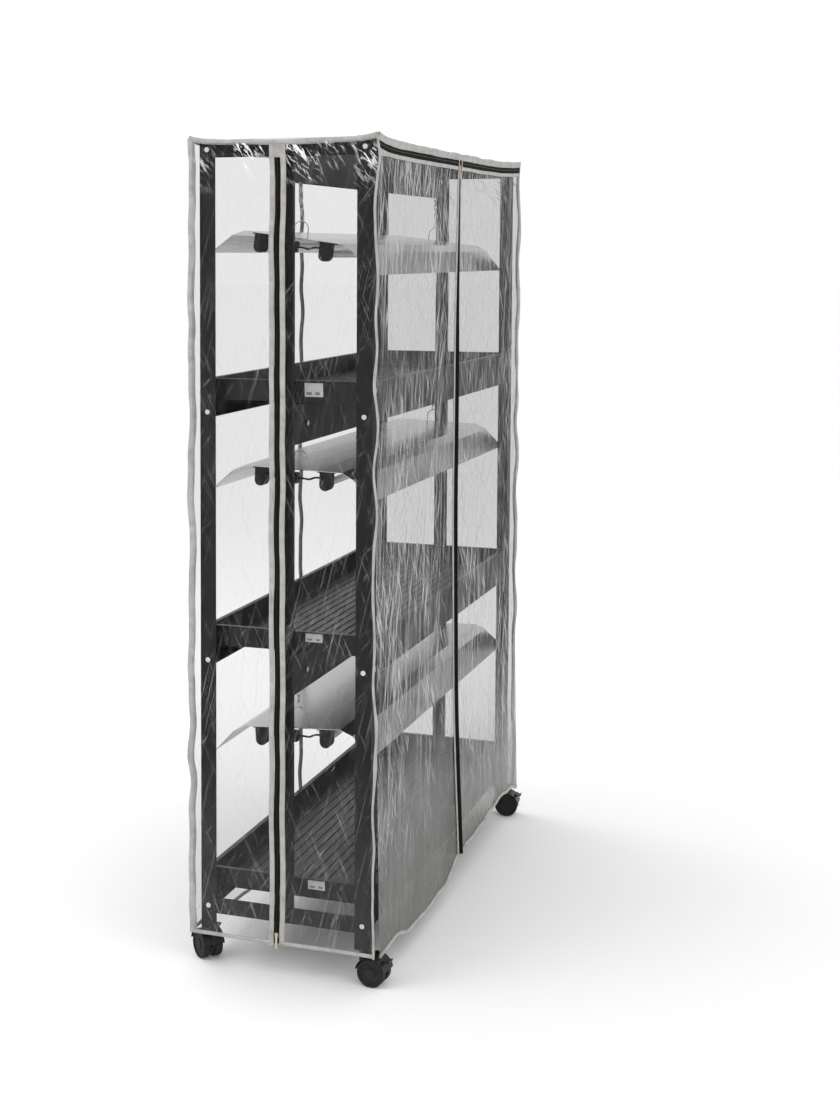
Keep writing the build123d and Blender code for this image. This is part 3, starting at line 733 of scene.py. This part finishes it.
def flap_zip(side, name, seed):
    """A flap's half of the front zipper, and its top edge: (black pieces, grey pieces)."""
    low = HEM - hem_drop(FRONT_ZIP_X) + 0.005
    tape_path, tape_frames = [], []
    bead_path, bead_frames = [], []
    border_path = []
    for i in range(ZIP_ROWS + 1):
        z = low + (FLAP_TOP - low) * i / ZIP_ROWS
        out = ridge(z) - bow(FRONT_ZIP_X, z) + FLARE * (1 - (z - low) / (FLAP_TOP - low)) ** 4
        sway = wave(61, z, 3.1, 0.007) * min(1.0, (FLAP_TOP - z) / 0.2)
        seam = Vector((FRONT_ZIP_X + side * 0.0006 + sway, FRONT_Y - out, z))
        edge = Vector((FRONT_ZIP_X + side * 0.0062 + sway, FRONT_Y - out + ridge(z), z))
        across = (edge - seam).normalized()
        facing = Vector((across.y, -across.x, 0))
        if facing.y > 0:
            facing = -facing
        tape_path.append((seam + edge) / 2)
        tape_frames.append((across * (edge - seam).length, facing))
        size = 1.0 if i % 2 else 0.65
        bead_path.append(seam + facing * 0.0006)
        bead_frames.append((across * size, facing * size))
        border_path.append(edge + X * side * 0.0052)
    tape = swept(f"{name}_front_black", tape_path, tape_frames,
                 [(-0.5, -0.0005), (0.5, -0.0005), (0.5, 0.0007), (-0.5, 0.0007)], ZIP_TAPE)
    bead = swept(f"{name}_front_teeth", bead_path, bead_frames, ring_profile(0.0013), TEETH)
    border = swept(f"{name}_front_border", border_path, [(X, -Y)] * len(border_path),
                   [(-0.005, -0.0006), (0.005, -0.0006), (0.005, 0.0006), (0.004, 0.0014),
                    (-0.004, 0.0014), (-0.005, 0.0006)], TAPE)
    near, far = FRONT_ZIP_X + side * 0.001, side * (COVER_X - 0.006)
    top_tape = front_strip(f"{name}_top_black", near, far, 0, FLAP_TOP - 0.0035,
                           0.007, 0.0012, seed, 0.0008, ZIP_TAPE)
    top_border = front_strip(f"{name}_top_border", near, far, 0, FLAP_TOP - 0.0115,
                             0.009, 0.0013, seed + 1, 0.001)
    return [tape, bead, top_tape], [border, top_border]


left_zip, left_borders = flap_zip(-1, "left", 63)
right_zip, right_borders = flap_zip(1, "right", 67)
header_tape = front_strip("header_tape", -COVER_X, COVER_X, 0, HEADER + 0.0125,
                          0.0105, 0.0016, 81, 0.0008)
header_end = COVER_X - 0.006
header_zip = [
    front_strip("header_zip_black", -header_end, header_end, 0.0002, HEADER + 0.003,
                0.008, 0.0013, 83, 0.0006, ZIP_TAPE),
    teeth_row("header_teeth", (-header_end, FRONT_Y - 0.001, HEADER + 0.0008),
              (header_end, FRONT_Y - 0.001, HEADER + 0.0008), Z, -Y, 83, 0.0006, 0.0012),
]


def fit(name, pieces, body):
    """Join pieces that ride together into one and say what they ride on."""
    piece = settle(joined(name, pieces))
    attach(piece, body)


fit("cover_bindings", corner_bindings + top_bindings + hems_cover + [back_seam] + end_tapes
    + [header_tape], "cover")
fit("cover_zip_tapes", end_zip + header_zip, "cover")
fit("flap_left_binding", [hem_flap_left] + left_borders, "flap_left")
fit("flap_left_zip", left_zip, "flap_left")
fit("flap_right_binding", [hem_flap_right] + right_borders, "flap_right")
fit("flap_right_zip", right_zip, "flap_right")


# ---- Chains ----------------------------------------------------------------------------
CHAIN_X = 0.55  # each light hangs from a chain at this X on both sides
LINK_PITCH = 0.0125
LINK_LAP = 0.0042  # how much longer a link is than the pitch
LINK_WIDTH = 0.0075
LINK_WIRE = 0.00115


def link(name, middle, along, turn, length):
    """One oval chain link."""
    along = Vector(along).normalized()
    side = Matrix.Rotation(turn, 3, along) @ along.cross(X).normalized()
    out = along.cross(side)
    path, frames = [], []
    straight = (length - LINK_WIDTH) / 2
    for k in range(16):
        angle = 2 * pi * k / 16
        radial = side * cos(angle) + along * sin(angle)
        path.append(middle + side * cos(angle) * LINK_WIDTH / 2 + along * (
            sin(angle) * LINK_WIDTH / 2 + (straight if sin(angle) >= 0 else -straight)))
        frames.append((radial, out))
    return swept(name, path, frames, ring_profile(LINK_WIRE), ZINC, closed_path=True)


for tier in TIERS:
    low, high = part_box(f"chains_{tier}")
    foot_y = low.y + high.y  # the chains' tops are at Y = 0, so the sides' sum is the foot's Y
    links = []
    for sx in (-1, 1):
        top = Vector((sx * CHAIN_X, 0, high.z))
        foot = Vector((sx * CHAIN_X, foot_y, low.z))
        run = top - foot
        count = round(run.length / LINK_PITCH)
        for i in range(count):
            links.append(link(f"link_{tier}_{sx}_{i}", foot + run * ((i + 0.5) / count), run,
                              (i % 2) * pi / 2, run.length / count + LINK_LAP))
    chain = joined(f"linked_chains_{tier}", links)
    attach(chain, f"sling_{tier}")
    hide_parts(f"chains_{tier}")
    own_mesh(chain)

# ---- Labels: blank, on the trays' left end walls ---------------------------------------
# a tray's end wall: how far in and below the rim it starts, and its run inwards over its drop
WALL_IN, WALL_BELOW, WALL_RUN, WALL_DROP = 0.008, 0.003, 0.005, 0.0445
WALL_LEAN = 0.112
# each label's middle in Y and Z, its width and its height
LABELS = {1: (-0.053, 1.2845, 0.042, 0.030), 2: (-0.0545, 0.7455, 0.039, 0.023),
          3: (-0.0615, 0.196, 0.039, 0.025)}
BARS = ((0.004, 0.012), (0.024, 0.010))  # each grey bar's start and width


def stuck(lift):
    """Offsets of a label, lift metres off the leaning wall, with its lower edge curled."""
    return lambda u, v: (-lift - 0.0011 * exp(-v / 0.004) - v * WALL_LEAN, 0, 0)


for tier, (y, z, width, height) in LABELS.items():
    low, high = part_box(f"tray_{tier}")
    wall_x = low.x + WALL_IN + WALL_RUN * (high.z - WALL_BELOW - z) / WALL_DROP - 0.0007
    paper = panel(f"label_{tier}", (wall_x, y + width / 2, z - height / 2), (0, -1, 0), (0, 0, 1),
                  width, height, 0.004, stuck(0.0004), LABEL)
    bars = [panel(f"bar_{tier}_{k}", (wall_x - 0.0004, y + width / 2 - start, z - height * 0.36),
                  (0, -1, 0), (0, 0, 1), wide, height * 0.2, 0.004, stuck(0.0008), LABEL_BAR)
            for k, (start, wide) in enumerate(BARS)]
    sticker = joined(f"blank_label_{tier}", [paper] + bars)
    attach(sticker, f"tray_{tier}")

# ---- Finishes of the CAD nodes ---------------------------------------------------------
FINISHES = {
    STEEL: ["front_posts", "back_posts", "centre_posts", "end_bars"]
    + [f"{part}_{tier}" for part in ("rails", "light_beam") for tier in TIERS],
    CHROME: ["frame_screws", "chain_bolts"],
    TRAY: [f"tray_{tier}" for tier in TIERS],
    ALUMINIUM: [f"reflector_{tier}" for tier in TIERS],
    GLASS_TUBE: [f"lamps_{tier}" for tier in TIERS],
    HOLDER: [f"{part}_{tier}" for part in ("lamp_holders", "jumper_lead", "lead_connector")
             for tier in TIERS],
    ZINC: [f"hanger_wires_{tier}" for tier in TIERS],
    CASTER: [f"caster_body_{corner}" for corner in CORNERS]
    + ["brake_lever_front_left", "brake_lever_front_right"],
    TYRE: [f"caster_wheels_{corner}" for corner in CORNERS],
    BRASS: [f"{zipper}_{part}" for part in ("slider", "pull")
            for zipper in ("end_zip", "front_zip", "top_zip_left", "top_zip_right")],
}
for material, names in FINISHES.items():
    for name in names:
        for slot in NODES[name].material_slots:
            slot.material = material

# ---- Studio ----------------------------------------------------------------------------
FLOOR = 80  # half its side, far enough for no edge to show
floor = new_mesh("studio_floor", [(-FLOOR, -FLOOR, 0), (FLOOR, -FLOOR, 0), (FLOOR, FLOOR, 0),
                                  (-FLOOR, FLOOR, 0)], [(0, 1, 2, 3)],
                 mottled("studio_white", (0.972, 0.972, 0.972), (0.98, 0.98, 0.98), 2,
                         (0.9, 0.95), (60, 0.0001, 0.1)), smooth=False)

world = bpy.data.worlds.new("studio_world")
bpy.context.scene.world = world
world.use_nodes = True
sky = world.node_tree.nodes["Background"]
sky.inputs["Color"].default_value = (1, 1, 1, 1)
sky.inputs["Strength"].default_value = 1.02


def area_light(name, place, target, size, power):
    """A soft rectangular lamp that faces a target."""
    data = bpy.data.lights.new(name, "AREA")
    data.shape = "RECTANGLE"
    data.size, data.size_y = size
    data.energy = power
    lamp = bpy.data.objects.new(name, data)
    bpy.context.scene.collection.objects.link(lamp)
    lamp.location = place
    aim = Vector(target) - Vector(place)
    lamp.rotation_euler = aim.to_track_quat("-Z", "Y").to_euler()


area_light("key", (-3.2, 2.6, 3.6), (0, 0, 1.0), (2.4, 2.4), 40)
area_light("fill", (-2.5, -4.0, 2.4), (0, 0, 0.9), (2.4, 2.4), 25)
area_light("rim", (2.0, 3.2, 3.4), (0.2, 0, 1.0), (2.0, 1.2), 30)
bpy.context.scene.view_settings.view_transform = "Standard"
